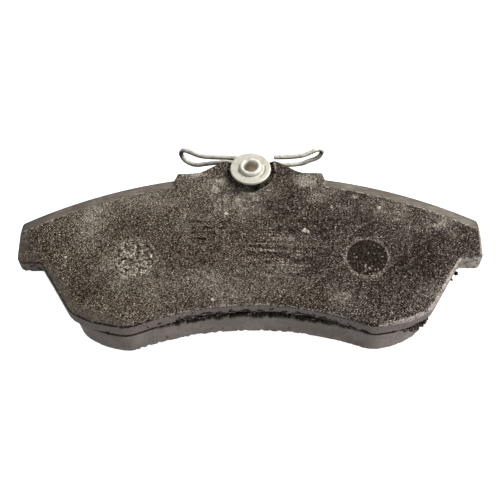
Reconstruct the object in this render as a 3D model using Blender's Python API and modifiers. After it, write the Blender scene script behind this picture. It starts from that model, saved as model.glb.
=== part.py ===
"""Disc brake pad with a riveted wire spring, for a sliding caliper.

A steel backing plate carries the moulded underlayer and friction lining. A hollow rivet and a washer hold
the wire spring on the plate's tab. The spring is one wire: a hook round the rivet, a loop on the left, a
bridge across the tab's top edge, and a loop on the right. It is modelled in four lengths, so that each loop
can flex.

The pad lies on its friction face. X runs along the pad, +Y points away from the disc's centre, and +Z is the
back of the pad, where the piston presses. The origin is at the bottom centre of the whole part's box.
"""

import math

import bmesh
import bpy
from mathutils import Vector

MM = 0.001  # every dimension below is in millimetres

# Fit between pieces
GAP = 0.3
SMALL_GAP = 0.15

# Heights above the surface that the pad lies on
LINING_THICKNESS = 10.2
UNDERLAYER_THICKNESS = 1.7
PLATE_THICKNESS = 5.5
UNDERLAYER_BOTTOM = LINING_THICKNESS + GAP
PLATE_BOTTOM = UNDERLAYER_BOTTOM + UNDERLAYER_THICKNESS + GAP
PLATE_TOP = PLATE_BOTTOM + PLATE_THICKNESS

# The disc's centre line, which the plate's outer edge and the lining's ends are drawn from
DISC_CENTRE_Y = -124.1

# Backing plate, seen from the back
PLATE_HALF_LENGTH = 68.5
TAB_TOP_Y = 25.7
TAB_TOP_HALF_WIDTH = 8.1
TAB_FOOT = (15.4, 21.45)
SHOULDER = (22.4, 21.1)
WING_START_X = 22.5
WING_RADIUS = 145.8
EAR_BOTTOM_Y = -9.75
NOTCH_X = 61.5
LOBE_CORNERS = [(51.7, -25.9, 6.0), (45.5, -29.0, 14.0), (35.2, -31.1, 9.0)]
INNER_ARC_RADIUS = 87.4
INNER_ARC_TOP_Y = -23.8
INNER_ARC_END_X = 31.5

# Bevel along the back of each wing's outer edge
BEVEL_INNER_RADIUS = 141.7
BEVEL_DEPTH = 2.0
TAB_KEEP_X = 22.9
TAB_KEEP_DEPTH = 100.0
TAB_KEEP_HEIGHT = 20.0

# Key holes, which the underlayer fills
KEY_HOLE_X = 34.2
KEY_HOLE_Y = -8.7
KEY_HOLE_RADIUS = 5.8
KEY_RECESS = 0.25

# Friction lining and underlayer outline
LINING_TOP_RADIUS = 139.5
LINING_HALF_LENGTH = 52.3
LINING_LOBE_CORNERS = [(52.3, -20.6, 3.0), (49.9, -25.1, 8.0), (43.5, -29.5, 22.0), (35.4, -30.4, 8.0)]
LINING_ARC_RADIUS = 100.0
LINING_ARC_TOP_Y = -23.9
LINING_ARC_END_X = 30.5
LINING_EDGE_BREAK = 0.3

# Shallow round seat in the tab, for the washer and the spring's hook
SEAT_Y = 22.0
SEAT_RADIUS = 7.6
SEAT_DEPTH = 0.8

# Spring wire
WIRE_RADIUS = 0.72
WIRE_STEP = 0.8
HOOK_Z = PLATE_TOP - SEAT_DEPTH + SMALL_GAP + WIRE_RADIUS
WIRE_Z = HOOK_Z + 0.4
WIRE_Y = TAB_TOP_Y + SMALL_GAP + WIRE_RADIUS
FLEX_X = 7.35
FLEX_CUT = GAP / 2

# Rivet, whose axis leans away from the disc's centre, and which passes the plate's back face at RIVET_Y
RIVET_Y = 21.0
RIVET_LEAN = math.radians(7.5)
RIVET_RADIUS = 2.8
RIVET_BORE_RADIUS = 2.2
RIVET_BORE_DEPTH = 5.0
RIVET_HEAD_RADIUS = 4.3
RIVET_HEAD_THICKNESS = 1.2
RIVET_HEAD_EDGE = 0.4
RIVET_RIM_RADIUS = 3.45
RIVET_RIM_THICKNESS = 0.9
RIM_SHOULDER = 0.35
RIM_UNDERCUT = 0.15
RIM_STEPS = 6
RIVET_BORE_CONE = 0.6
RIVET_HOLE_Y = RIVET_Y - PLATE_THICKNESS / 2 * math.tan(RIVET_LEAN)
RIVET_HOLE_RADIUS = 3.5

# The spring's hook, which goes round the rivet under the washer
HOOK_RADIUS = RIVET_RADIUS + GAP + WIRE_RADIUS
HOOK_START_ANGLE = 74.0
HOOK_END_ANGLE = -160.0
HOOK_STEP_ANGLE = 13.0

# Washer, which leans with the rivet and clears the wire where it enters; heights are along the rivet's axis
WASHER_RADIUS = 6.35
WASHER_BORE_RADIUS = RIVET_RADIUS + GAP
WASHER_THICKNESS = 0.9
WASHER_EDGE = 0.15
WIRE_ENTRY_Y = 4.9
WASHER_BOTTOM = HOOK_Z + WIRE_RADIUS + SMALL_GAP + WIRE_ENTRY_Y * math.tan(RIVET_LEAN) - PLATE_TOP
WASHER_TOP = WASHER_BOTTOM + WASHER_THICKNESS
RIM_BOTTOM = WASHER_TOP + SMALL_GAP
RIM_TOP = RIM_BOTTOM + RIVET_RIM_THICKNESS
HEAD_TOP = -PLATE_THICKNESS - GAP - RIVET_HEAD_RADIUS * math.sin(RIVET_LEAN)

# Each loop runs from the upper arm round the tip to the lower arm: X, Y and Z of the wire's middle
LEFT_LOOP = [
    (-FLEX_X - FLEX_CUT, WIRE_Y, WIRE_Z),
    (-9.9, 26.62, WIRE_Z),
    (-13.6, 26.87, WIRE_Z),
    (-16.1, 27.4, WIRE_Z),
    (-17.9, 28.2, WIRE_Z),
    (-19.7, 29.1, WIRE_Z),
    (-21.0, 29.8, 17.9),
    (-21.8, 29.7, 16.6),
    (-21.5, 29.2, 15.2),
    (-20.5, 28.5, 14.1),
    (-18.8, 27.6, 13.7),
    (-17.0, 27.0, 13.9),
    (-15.0, 26.77, 14.5),
    (-12.5, 26.67, 15.2),
    (-9.8, 26.62, 15.7),
    (-FLEX_X - FLEX_CUT, WIRE_Y, 15.8),
]
RIGHT_LOOP = [
    (FLEX_X - FLEX_CUT, WIRE_Y, WIRE_Z),
    (10.6, 26.57, WIRE_Z),
    (14.4, 26.87, WIRE_Z),
    (16.4, 27.3, WIRE_Z),
    (18.2, 28.1, WIRE_Z),
    (20.0, 29.0, WIRE_Z),
    (21.4, 29.8, 18.0),
    (22.2, 29.7, 17.0),
    (21.9, 29.3, 15.8),
    (20.7, 28.6, 14.9),
    (18.4, 28.0, 14.4),
    (16.4, 27.3, 14.0),
    (14.4, 26.97, 13.9),
    (12.1, 26.77, 14.0),
    (10.0, 26.67, 14.3),
    (FLEX_X + FLEX_CUT, WIRE_Y, 14.7),
]

# Fineness of round things
ROUND_STEPS = 48
RIVET_STEPS = 40
RING_STEPS = 360
WING_STEPS = 15
LINING_TOP_STEPS = 14
INNER_ARC_STEPS = 12
BRIDGE_STEPS = 8
CORNER_STEP = math.radians(12)


def remove_everything():
    for thing in list(bpy.data.objects):
        bpy.data.objects.remove(thing)


def new_collection(name):
    collection = bpy.data.collections.new(name)
    bpy.context.scene.collection.children.link(collection)
    return collection


def new_material(name, colour, roughness, metallic):
    material = bpy.data.materials.new(name)
    material.use_nodes = True
    shader = material.node_tree.nodes["Principled BSDF"]
    shader.inputs["Base Color"].default_value = (*colour, 1.0)
    shader.inputs["Roughness"].default_value = roughness
    shader.inputs["Metallic"].default_value = metallic
    return material


def link_part(thing, material):
    thing.data.materials.append(material)
    for old in thing.users_collection:
        old.objects.unlink(thing)
    parts.objects.link(thing)
    return thing


def link_cutter(thing):
    thing.hide_render = True
    thing.display_type = "WIRE"
    for old in thing.users_collection:
        old.objects.unlink(thing)
    cutters.objects.link(thing)
    return thing


def rounded(corners):
    """The outline through corners of (x, y, radius), each corner of some radius replaced by an arc."""
    points = []
    for (x0, y0, _), (x1, y1, radius), (x2, y2, _) in zip(corners, corners[1:], corners[2:]):
        corner = Vector((x1, y1))
        if radius == 0:
            points.append(corner)
            continue
        to_last = (Vector((x0, y0)) - corner).normalized()
        to_next = (Vector((x2, y2)) - corner).normalized()
        half_angle = to_last.angle(to_next) / 2
        centre = corner + (to_last + to_next).normalized() * radius / math.sin(half_angle)
        start = corner + to_last * radius / math.tan(half_angle) - centre
        end = corner + to_next * radius / math.tan(half_angle) - centre
        turn = start.angle_signed(end)
        steps = max(2, math.ceil(abs(turn) / CORNER_STEP))
        for i in range(steps + 1):
            angle = -turn * i / steps
            c, s = math.cos(angle), math.sin(angle)
            points.append(centre + Vector((start.x * c - start.y * s, start.x * s + start.y * c)))
    return points


def arc(centre_y, radius, x_start, x_end, steps, start_corner=0.0, end_corner=0.0):
    """Corners along the top of a circle on the Y axis, with a corner radius of its own at each end."""
    corners = []
    for i in range(steps + 1):
        x = x_start + (x_end - x_start) * i / steps
        corner = start_corner if i == 0 else end_corner if i == steps else 0.0
        corners.append((x, centre_y + math.sqrt(radius**2 - x**2), corner))
    return corners


def mirrored(half):
    """A whole outline from its half at +X, whose first and last points are on the Y axis."""
    return half + [Vector((-p.x, p.y)) for p in reversed(half[1:-1])]


def half_outline(corners):
    """Rounds a half outline that starts and ends on the Y axis, and keeps those two points."""
    first = Vector(corners[0][:2])
    last = Vector(corners[-1][:2])
    return [first] + rounded(corners) + [last]


def plate_outline():
    inner_centre_y = INNER_ARC_TOP_Y - INNER_ARC_RADIUS
    corners = [(0, TAB_TOP_Y, 0), (TAB_TOP_HALF_WIDTH, TAB_TOP_Y, 2.0), (*TAB_FOOT, 5.0), (*SHOULDER, 0.15)]
    corners += arc(DISC_CENTRE_Y, WING_RADIUS, WING_START_X, PLATE_HALF_LENGTH, WING_STEPS, 0.9, 1.2)
    corners += [(PLATE_HALF_LENGTH, EAR_BOTTOM_Y, 2.0), (NOTCH_X, EAR_BOTTOM_Y, 1.0)]
    corners += LOBE_CORNERS
    corners += arc(inner_centre_y, INNER_ARC_RADIUS, INNER_ARC_END_X, 0, INNER_ARC_STEPS)
    return mirrored(half_outline(corners))


def lining_outline():
    inner_centre_y = LINING_ARC_TOP_Y - LINING_ARC_RADIUS
    corners = arc(DISC_CENTRE_Y, LINING_TOP_RADIUS, 0, LINING_HALF_LENGTH, LINING_TOP_STEPS, 0.0, 1.5)
    corners += LINING_LOBE_CORNERS
    corners += arc(inner_centre_y, LINING_ARC_RADIUS, LINING_ARC_END_X, 0, INNER_ARC_STEPS)
    return mirrored(half_outline(corners))


def slab(name, outline, bottom, thickness):
    """A flat outline with a thickness, made a mesh so that it can be cut."""
    curve = bpy.data.curves.new(name + "_outline", "CURVE")
    curve.dimensions = "2D"
    curve.fill_mode = "BOTH"
    curve.extrude = thickness / 2 * MM
    spline = curve.splines.new("POLY")
    spline.points.add(len(outline) - 1)
    for point, place in zip(spline.points, outline):
        point.co = (place.x * MM, place.y * MM, 0, 1)
    spline.use_cyclic_u = True
    flat = bpy.data.objects.new(name + "_outline", curve)
    bpy.context.scene.collection.objects.link(flat)
    flat.location.z = (bottom + thickness / 2) * MM
    bpy.context.view_layer.update()

    mesh = bpy.data.meshes.new_from_object(flat.evaluated_get(bpy.context.evaluated_depsgraph_get()))
    mesh.name = name
    shape = bmesh.new()
    shape.from_mesh(mesh)
    bmesh.ops.remove_doubles(shape, verts=shape.verts, dist=0.00001)
    for side in (1, -1):
        cap = [face for face in shape.faces if all(vert.co.z * side > 0 for vert in face.verts)]
        bmesh.ops.dissolve_faces(shape, faces=cap)
    bmesh.ops.recalc_face_normals(shape, faces=shape.faces)
    shape.to_mesh(mesh)
    shape.free()
    thing = bpy.data.objects.new(name, mesh)
    bpy.context.scene.collection.objects.link(thing)
    thing.matrix_world = flat.matrix_world
    bpy.data.objects.remove(flat)
    return thing


def cylinder(name, x, y, bottom, top, radius):
    bpy.ops.mesh.primitive_cylinder_add(
        vertices=ROUND_STEPS,
        radius=radius * MM,
        depth=(top - bottom) * MM,
        location=(x * MM, y * MM, (bottom + top) / 2 * MM),
    )
    thing = bpy.context.object
    thing.name = name
    return thing


def boolean(thing, tool, operation):
    modifier = thing.modifiers.new(tool.name, "BOOLEAN")
    modifier.operation = operation
    modifier.object = tool
    modifier.solver = "EXACT"


def turned(name, profile, steps, closed):
    """A turned piece on its own Z axis. The profile is (radius, height), from the top down the outer side."""
    mesh = bpy.data.meshes.new(name)
    points = [(r * MM, 0, z * MM) for r, z in profile]
    edges = [(i, i + 1) for i in range(len(points) - 1)]
    if closed:
        edges.append((len(points) - 1, 0))
    mesh.from_pydata(points, edges, [])
    thing = bpy.data.objects.new(name, mesh)
    bpy.context.scene.collection.objects.link(thing)
    screw = thing.modifiers.new("turn", "SCREW")
    screw.steps = steps
    screw.render_steps = steps
    screw.use_merge_vertices = True
    screw.merge_threshold = 0.00001
    screw.use_smooth_shade = True
    return thing


def smooth_route(points, step):
    """Points about a step apart on the smooth curve through a route's own points."""
    route = [Vector(p) for p in points]
    route = [route[0] * 2 - route[1]] + route + [route[-1] * 2 - route[-2]]
    result = []
    for p0, p1, p2, p3 in zip(route, route[1:], route[2:], route[3:]):
        count = max(1, round((p2 - p1).length / step))
        for i in range(count):
            t = i / count
            linear = (p2 - p0) * t
            square = (p0 * 2 - p1 * 5 + p2 * 4 - p3) * t**2
            cube = (p1 * 3 - p0 - p2 * 3 + p3) * t**3
            result.append(p1 + (linear + square + cube) / 2)
    return result + [route[-2]]


def wire(name, points, origin):
    """A length of the spring's wire, with its object's origin where it turns."""
    curve = bpy.data.curves.new(name, "CURVE")
    curve.dimensions = "3D"
    curve.bevel_depth = WIRE_RADIUS * MM
    curve.bevel_resolution = 2
    curve.use_fill_caps = True
    spline = curve.splines.new("POLY")
    spline.points.add(len(points) - 1)
    for point, place in zip(spline.points, points):
        point.co = (*((place - Vector(origin)) * MM), 1)
    spline.use_smooth = True
    thing = bpy.data.objects.new(name, curve)
    thing.location = Vector(origin) * MM
    bpy.context.scene.collection.objects.link(thing)
    return thing


def make_wing_bevel_cutter():
    """A ring about the disc's centre that bevels both wings, and leaves the tab between them alone."""
    slope = BEVEL_DEPTH / (WING_RADIUS - BEVEL_INNER_RADIUS)
    margin = 2.0
    outer = WING_RADIUS + margin
    inner = BEVEL_INNER_RADIUS - margin / slope
    profile = [
        (outer, PLATE_TOP + margin),
        (outer, PLATE_TOP - BEVEL_DEPTH - margin * slope),
        (inner, PLATE_TOP + margin),
    ]
    ring = link_cutter(turned("wing_bevel_cutter", profile, RING_STEPS, closed=True))
    ring.location.y = DISC_CENTRE_Y * MM

    bpy.ops.mesh.primitive_cube_add(size=1, location=(0, 0, PLATE_TOP * MM))
    keep = link_cutter(bpy.context.object)
    keep.name = "tab_keep_box"
    keep.scale = (2 * TAB_KEEP_X * MM, TAB_KEEP_DEPTH * MM, TAB_KEEP_HEIGHT * MM)
    boolean(ring, keep, "DIFFERENCE")
    return ring


def make_backing_plate():
    plate = slab("backing_plate", plate_outline(), PLATE_BOTTOM, PLATE_THICKNESS)
    link_part(plate, new_material("plate_steel", (0.11, 0.10, 0.09), 0.75, 0.3))
    boolean(plate, make_wing_bevel_cutter(), "DIFFERENCE")

    low, high = PLATE_BOTTOM - 1, PLATE_TOP + 1
    for side, x in (("left", -KEY_HOLE_X), ("right", KEY_HOLE_X)):
        hole = cylinder(side + "_key_hole_cutter", x, KEY_HOLE_Y, low, high, KEY_HOLE_RADIUS)
        boolean(plate, link_cutter(hole), "DIFFERENCE")
    rivet_hole = cylinder("rivet_hole_cutter", 0, RIVET_HOLE_Y, low, high, RIVET_HOLE_RADIUS)
    boolean(plate, link_cutter(rivet_hole), "DIFFERENCE")
    seat = cylinder("rivet_seat_cutter", 0, SEAT_Y, PLATE_TOP - SEAT_DEPTH, high, SEAT_RADIUS)
    boolean(plate, link_cutter(seat), "DIFFERENCE")
    return plate


def make_underlayer():
    """The thin moulded layer under the plate, with the two plugs that key it into the plate's holes."""
    layer = slab("underlayer", lining_outline(), UNDERLAYER_BOTTOM, UNDERLAYER_THICKNESS)
    link_part(layer, new_material("underlayer_compound", (0.06, 0.05, 0.045), 0.95, 0.0))
    low = UNDERLAYER_BOTTOM + UNDERLAYER_THICKNESS / 2
    high = PLATE_TOP - KEY_RECESS
    for side, x in (("left", -KEY_HOLE_X), ("right", KEY_HOLE_X)):
        plug = cylinder(side + "_key_plug", x, KEY_HOLE_Y, low, high, KEY_HOLE_RADIUS - GAP)
        boolean(layer, link_cutter(plug), "UNION")
    return layer


def make_friction_lining():
    lining = slab("friction_lining", lining_outline(), 0, LINING_THICKNESS)
    link_part(lining, new_material("friction_compound", (0.17, 0.16, 0.155), 0.9, 0.05))
    edge = lining.modifiers.new("edge_break", "BEVEL")
    edge.width = LINING_EDGE_BREAK * MM
    edge.segments = 1
    edge.limit_method = "ANGLE"
    edge.angle_limit = math.radians(60)
    return lining


def lean_with_rivet(thing):
    """Stands a turned piece on the plate's back face, on the rivet's leaning axis."""
    thing.location = (0, RIVET_Y * MM, PLATE_TOP * MM)
    thing.rotation_euler.x = -RIVET_LEAN
    return thing


def make_rivet():
    """A semi-tubular rivet: flat head under the plate, and the tube's end rolled over the washer."""
    head_bottom = HEAD_TOP - RIVET_HEAD_THICKNESS
    bore_bottom = RIM_TOP - RIVET_BORE_DEPTH
    rim_middle = (RIVET_BORE_RADIUS + RIVET_RIM_RADIUS) / 2
    rim_half = (RIVET_RIM_RADIUS - RIVET_BORE_RADIUS) / 2
    profile = [(0, bore_bottom), (RIVET_BORE_RADIUS, bore_bottom + RIVET_BORE_CONE)]
    for i in range(RIM_STEPS + 1):
        angle = math.pi * (1 - i / RIM_STEPS)
        height = RIM_BOTTOM + RIVET_RIM_THICKNESS * (RIM_SHOULDER + (1 - RIM_SHOULDER) * math.sin(angle))
        profile.append((rim_middle + rim_half * math.cos(angle), height))
    profile += [
        (RIVET_RIM_RADIUS - RIM_UNDERCUT, RIM_BOTTOM),
        (RIVET_RADIUS, RIM_BOTTOM),
        (RIVET_RADIUS, HEAD_TOP),
        (RIVET_HEAD_RADIUS, HEAD_TOP),
        (RIVET_HEAD_RADIUS, head_bottom + RIVET_HEAD_EDGE),
        (RIVET_HEAD_RADIUS - RIVET_HEAD_EDGE, head_bottom),
        (0, head_bottom),
    ]
    rivet = lean_with_rivet(turned("rivet", profile, RIVET_STEPS, closed=False))
    return link_part(rivet, new_material("rivet_steel", (0.62, 0.60, 0.57), 0.35, 0.9))


def make_washer():
    profile = [
        (WASHER_BORE_RADIUS, WASHER_TOP),
        (WASHER_RADIUS - WASHER_EDGE, WASHER_TOP),
        (WASHER_RADIUS, WASHER_TOP - WASHER_EDGE),
        (WASHER_RADIUS, WASHER_BOTTOM + WASHER_EDGE),
        (WASHER_RADIUS - WASHER_EDGE, WASHER_BOTTOM),
        (WASHER_BORE_RADIUS, WASHER_BOTTOM),
    ]
    washer = lean_with_rivet(turned("rivet_washer", profile, ROUND_STEPS, closed=True))
    return link_part(washer, new_material("washer_zinc", (0.72, 0.70, 0.65), 0.4, 0.85))


def make_spring():
    zinc = (0.70, 0.70, 0.68)
    start = Vector((-FLEX_X + FLEX_CUT, WIRE_Y, WIRE_Z))
    dip = Vector((-6.3, WIRE_Y, (WIRE_Z + HOOK_Z) / 2))
    hook = [start, dip, Vector((-5.2, WIRE_Y, HOOK_Z)), Vector((-4.0, WIRE_Y - 0.08, HOOK_Z))]
    angle = HOOK_START_ANGLE
    while angle >= HOOK_END_ANGLE:
        turn = math.radians(angle)
        hook.append(Vector((HOOK_RADIUS * math.cos(turn), RIVET_Y + HOOK_RADIUS * math.sin(turn), HOOK_Z)))
        angle -= HOOK_STEP_ANGLE
    link_part(wire("spring_hook", hook, (0, RIVET_Y, HOOK_Z)), new_material("hook_zinc", zinc, 0.35, 0.9))

    left_end = Vector((-FLEX_X + FLEX_CUT, *LEFT_LOOP[-1][1:]))
    right_end = Vector((FLEX_X - FLEX_CUT, *RIGHT_LOOP[-1][1:]))
    route = [left_end.lerp(right_end, i / BRIDGE_STEPS) for i in range(BRIDGE_STEPS + 1)]
    bridge = wire("spring_bridge", route, (0, WIRE_Y, left_end.z))
    link_part(bridge, new_material("bridge_zinc", zinc, 0.35, 0.9))

    for side, x, route in (("left", -FLEX_X, LEFT_LOOP), ("right", FLEX_X, RIGHT_LOOP)):
        pivot = Vector((x, WIRE_Y, WIRE_Z))
        loop = wire(f"spring_{side}_loop", smooth_route(route, WIRE_STEP), pivot)
        link_part(loop, new_material(f"{side}_loop_zinc", zinc, 0.35, 0.9))


def shade_round(thing):
    thing.data.shade_smooth()
    thing.data.set_sharp_from_angle(angle=math.radians(35))


remove_everything()
parts = new_collection("brake_pad")
cutters = new_collection("brake_pad_cutters")
shade_round(make_backing_plate())
shade_round(make_underlayer())
shade_round(make_friction_lining())
make_rivet()
make_washer()
make_spring()
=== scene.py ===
"""The looks of a riveted disc brake pad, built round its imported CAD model.

Lengths are in millimetres in the row frame until a mesh is made, and metres after that. The backing
plate, the underlayer and the lining take their outlines and heights from their CAD nodes, and are then
roughened, chipped and worn as fine meshes. The rivet and the washer are turned again more finely, and
the spring is drawn as one bent wire.
"""

import math
from types import SimpleNamespace

import bmesh
import bpy
import numpy as np
from mathutils import Matrix, Vector, kdtree, noise
from mathutils.bvhtree import BVHTree
from mathutils.geometry import delaunay_2d_cdt


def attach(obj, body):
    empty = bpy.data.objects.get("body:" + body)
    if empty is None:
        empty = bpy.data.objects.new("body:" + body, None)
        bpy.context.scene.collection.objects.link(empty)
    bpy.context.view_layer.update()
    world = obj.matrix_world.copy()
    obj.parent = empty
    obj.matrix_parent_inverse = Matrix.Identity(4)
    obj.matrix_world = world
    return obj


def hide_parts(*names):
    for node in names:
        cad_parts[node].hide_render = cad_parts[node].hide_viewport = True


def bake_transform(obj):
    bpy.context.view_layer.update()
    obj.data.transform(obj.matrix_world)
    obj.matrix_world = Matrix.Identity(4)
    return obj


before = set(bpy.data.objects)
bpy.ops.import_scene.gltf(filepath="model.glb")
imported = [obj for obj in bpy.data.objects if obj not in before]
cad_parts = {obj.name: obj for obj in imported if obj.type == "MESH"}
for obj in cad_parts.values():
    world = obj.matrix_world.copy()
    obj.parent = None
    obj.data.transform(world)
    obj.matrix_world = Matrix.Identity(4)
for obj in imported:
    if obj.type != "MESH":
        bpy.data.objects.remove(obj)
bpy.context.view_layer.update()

MM = 0.001

# Places on the pad
PLATE_TOP = 18.0
PLATE_BOTTOM = 12.5
LINING_TOP = 10.2
UNDERLAYER_OVERLAP = 0.1
KEY_X = 34.2
KEY_Y = -8.7
KEY_RADIUS = 5.85
KEY_TOP = 17.78
RIVET_HOLE_Y = 20.6
SEAT_X = 0.3
SEAT_Y = 22.3
SEAT_RADIUS = 7.6
NICK_X = -17.3

# Rivet and washer, whose heights are along an axis that leans from the plate's back face
RIVET_FOOT = Vector((0.2, 21.0, PLATE_TOP))
RIVET_LEAN = math.radians(7.5)
RIVET_RADIUS = 2.8
RIVET_BORE_RADIUS = 2.05
RIM_RADIUS = 3.42
HEAD_RADIUS = 4.3
HEAD_TOP = -6.36
HEAD_BOTTOM = -7.56
WASHER_RADIUS = 6.2
WASHER_BORE = 2.95
WASHER_BOTTOM = 1.61
WASHER_TOP = 2.46
RIM_TOP = 3.53

# Spring wire, whose hook is drawn with a point every few degrees
WIRE_RADIUS = 0.71
WIRE_Y = 26.57
ARM_Z = 18.47
HOOK_Z = 18.07
HOOK_RADIUS = 3.82
HOOK_START_ANGLE = 74.0
HOOK_END_ANGLE = -160.0
HOOK_STEP_ANGLE = 13
LEFT_LOOP = [
    (-7.5, 26.57, 18.47), (-9.9, 26.62, 18.47), (-13.6, 26.87, 18.47), (-16.1, 27.4, 18.47),
    (-17.9, 28.2, 18.47), (-19.7, 29.1, 18.47), (-21.0, 29.72, 17.9), (-21.8, 29.7, 16.6),
    (-21.5, 29.2, 15.2), (-20.5, 28.5, 14.1), (-18.8, 27.6, 13.7), (-17.0, 27.0, 13.9),
    (-15.0, 26.77, 14.5), (-12.5, 26.67, 15.2), (-9.8, 26.62, 15.7), (-7.5, 26.57, 15.8),
]
RIGHT_LOOP = [
    (7.2, 26.57, 18.47), (10.6, 26.57, 18.47), (14.4, 26.87, 18.47), (16.4, 27.3, 18.47),
    (18.2, 28.1, 18.47), (20.0, 29.0, 18.47), (21.4, 29.72, 18.0), (22.2, 29.7, 17.0),
    (21.9, 29.3, 15.8), (20.7, 28.6, 14.9), (18.4, 28.0, 14.4), (16.4, 27.3, 14.0),
    (14.4, 26.97, 13.9), (12.1, 26.77, 14.0), (10.0, 26.67, 14.3), (7.5, 26.57, 14.7),
]
BRIDGE_MIDDLE = (0.0, 26.57, 15.25)
# The whole spring sits a hair to the right of the middle
SPRING_SHIFT = 0.3

# Dusty patches on the plate's back: x, y, half width, half height, strength
DUST = [
    (-47.5, 3.7, 3.5, 6.5, 0.55), (-31, 11.5, 10, 3.5, 0.25), (-36.5, -11.5, 6, 4.5, 0.7),
    (-25, -17.5, 8, 5, 0.2), (-11.7, -16, 8, 4, 0.45), (7.7, -14.5, 8, 3.5, 0.4),
    (-2, 10.5, 5, 6, 0.5), (-10.5, 17, 4.5, 4, 0.4), (-19.5, 18.5, 5, 2.5, 0.25),
    (-46, 9, 5, 4.5, 0.5), (-5, -20, 9, 4, 0.45), (-18, 13, 5, 3, 0.25),
    (1, 13.5, 7, 2.5, 0.55), (12, -3.5, 4, 3, 0.3), (60, 0.5, 3, 3, 0.3),
    (28, 8, 3, 2.5, 0.3), (17.7, 18.3, 5, 3, 1), (21.5, 13.4, 6, 2.5, 0.5),
    (-12, 5, 4, 2.5, 0.3), (39, 9.5, 6, 4, 0.35), (46.5, 1, 2, 6, 0.35),
    (57.5, 4.5, 4.5, 3, 0.55), (26, -21, 4, 3, 0.35), (44.5, 7.5, 3.5, 3, 0.5),
    (-20, 2.5, 3.5, 3, 0.25), (53, -22, 4, 4, 0.5),
]

# Darker patches, in the same way
SHADE = [
    (-36, 2, 8, 5, 0.3), (-46, -16, 9, 9, 0.45), (-60, -5, 8, 5, 0.35),
    (-24, -5, 6, 4, 0.3), (-14, -23, 9, 2.5, 0.2), (4, 10.5, 4, 4.5, 0.65),
    (45, -12, 6, 5, 0.9), (36, 0.5, 5, 2.5, 0.7), (12, 0.5, 4, 3, 0.6),
    (-14.6, -7.7, 6, 5, 0.4), (-3, 2.6, 5, 2.5, 0.3), (9, 9.5, 5, 8, 0.4),
    (13, 20, 4, 5, 0.75), (8, 2.6, 6, 3, 0.3), (28.7, 13, 6, 2.5, 0.4),
    (28, 4, 11, 4, 0.45), (17.3, -8.2, 6, 4, 0.3), (50.5, -8, 7, 8, 0.8),
    (36.5, 6, 3.5, 4.5, 0.6), (6, -12, 5, 4, 0.3), (19, -12, 5, 5, 0.4),
    (2, -2, 4, 3, 0.3), (8, -23, 5, 2.5, 0.3), (64, -1.4, 4, 4, 0.4),
    (-65, -4, 4, 6, 0.6), (20, 2, 6.5, 4, 0.65), (44, -6, 5, 8, 0.45),
    (36, 5.5, 6, 4, 0.65), (41, -17, 10, 5, 0.3),
]

# Where dust is splashed below the rivet, and where dark dashes and fine ripples run, in the same way
SPLASHED = (-4.0, 12.0, 9.0, 6.5, 1.0)
DASHED = (-12.0, 1.0, 8.5, 4.5, 1.0)
DASH_PITCH = 1.9
RIPPLED = (9.0, -7.0, 11.0, 9.0, 1.0)

# Smaller pale clumps with ragged edges, in the same way
CLUMPS = [
    (-11.1, 14.6, 1.5, 1.9, 1), (-8.6, 18, 2.4, 2.1, 1), (-3.5, 11.2, 2.2, 0.9, 0.8),
    (2, 11.8, 1.8, 1, 0.8), (-16.6, 20.3, 5, 0.9, 0.9), (-1, 13.2, 4.5, 0.9, 0.9),
    (-6.2, 15.3, 1.6, 1.4, 0.8), (17.4, 18, 4.3, 2.6, 1), (31.9, 12.2, 1.6, 1.3, 0.7),
    (24.5, 8.8, 0.8, 1.3, 0.7), (39, 8.5, 1.8, 1.2, 0.7), (44, 4.1, 1.8, 1.6, 0.7),
    (57, 2.6, 2.4, 1.8, 0.75), (27.3, -21.5, 2.6, 1.6, 0.7), (-36.5, -14.5, 2.2, 1.4, 0.7),
]

# Pale chips stuck to the coating: x, y, radius
CHIPS = [
    (-7.2, 6.5, 0.6), (16.2, 0.6, 0.7), (17.4, 0.1, 0.5),
    (-10.9, -22.2, 0.5), (-54.2, -7.9, 0.35), (39, 8.3, 0.55),
]

# Crumbs of underlayer: two single ones, then how many lie along the right slope and the right lobe
SINGLE_CRUMBS = [((61.0, -11.3, 12.4), 0.6), ((59.5, -13.3, 12.3), 0.35)]
SLOPE_CRUMBS = 12
LOBE_CRUMBS = 130


# ---------------- number work

def noise_at(points, size, seed=0, octaves=1, stretch=(1, 1, 1)):
    """Smooth noise, about -1 to 1, at each point.

    Its lumps are about size wide, times stretch along each axis.
    """
    places = np.asarray(points) / (np.array(stretch) * size) + seed * 13.7
    if octaves == 1:
        return np.array([noise.noise(p) for p in places.tolist()]) * 1.6
    return np.array([noise.fractal(p, 1.0, 2.0, octaves) for p in places.tolist()]) * 1.3


def ease(value, low, high):
    """0 up to low, 1 from high on, and smooth between."""
    t = np.clip((value - low) / (high - low), 0, 1)
    return t * t * (3 - 2 * t)


def fade(value, low, high):
    """1 up to low, 0 from high on, and smooth between."""
    return 1 - ease(value, low, high)


def hump(value, middle, width):
    """1 at the middle, falling smoothly to almost 0 two widths away."""
    return np.exp(-(((value - middle) / width) ** 2))


def soften(values, edges, passes):
    """Values averaged with their neighbours' along the edges."""
    degree = np.bincount(edges.ravel(), minlength=len(values))
    for _ in range(passes):
        total = np.bincount(edges[:, 0], values[edges[:, 1]], len(values))
        total += np.bincount(edges[:, 1], values[edges[:, 0]], len(values))
        values = values * 0.5 + total / np.maximum(degree, 1) * 0.5
    return values


# ---------------- slabs from CAD outlines

def cad_shape(node):
    """A CAD node as a welded bmesh in millimetres."""
    shape = bmesh.new()
    shape.from_mesh(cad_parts[node].data)
    bmesh.ops.scale(shape, vec=(1 / MM, 1 / MM, 1 / MM), verts=shape.verts)
    bmesh.ops.remove_doubles(shape, verts=shape.verts, dist=0.005)
    return shape


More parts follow.
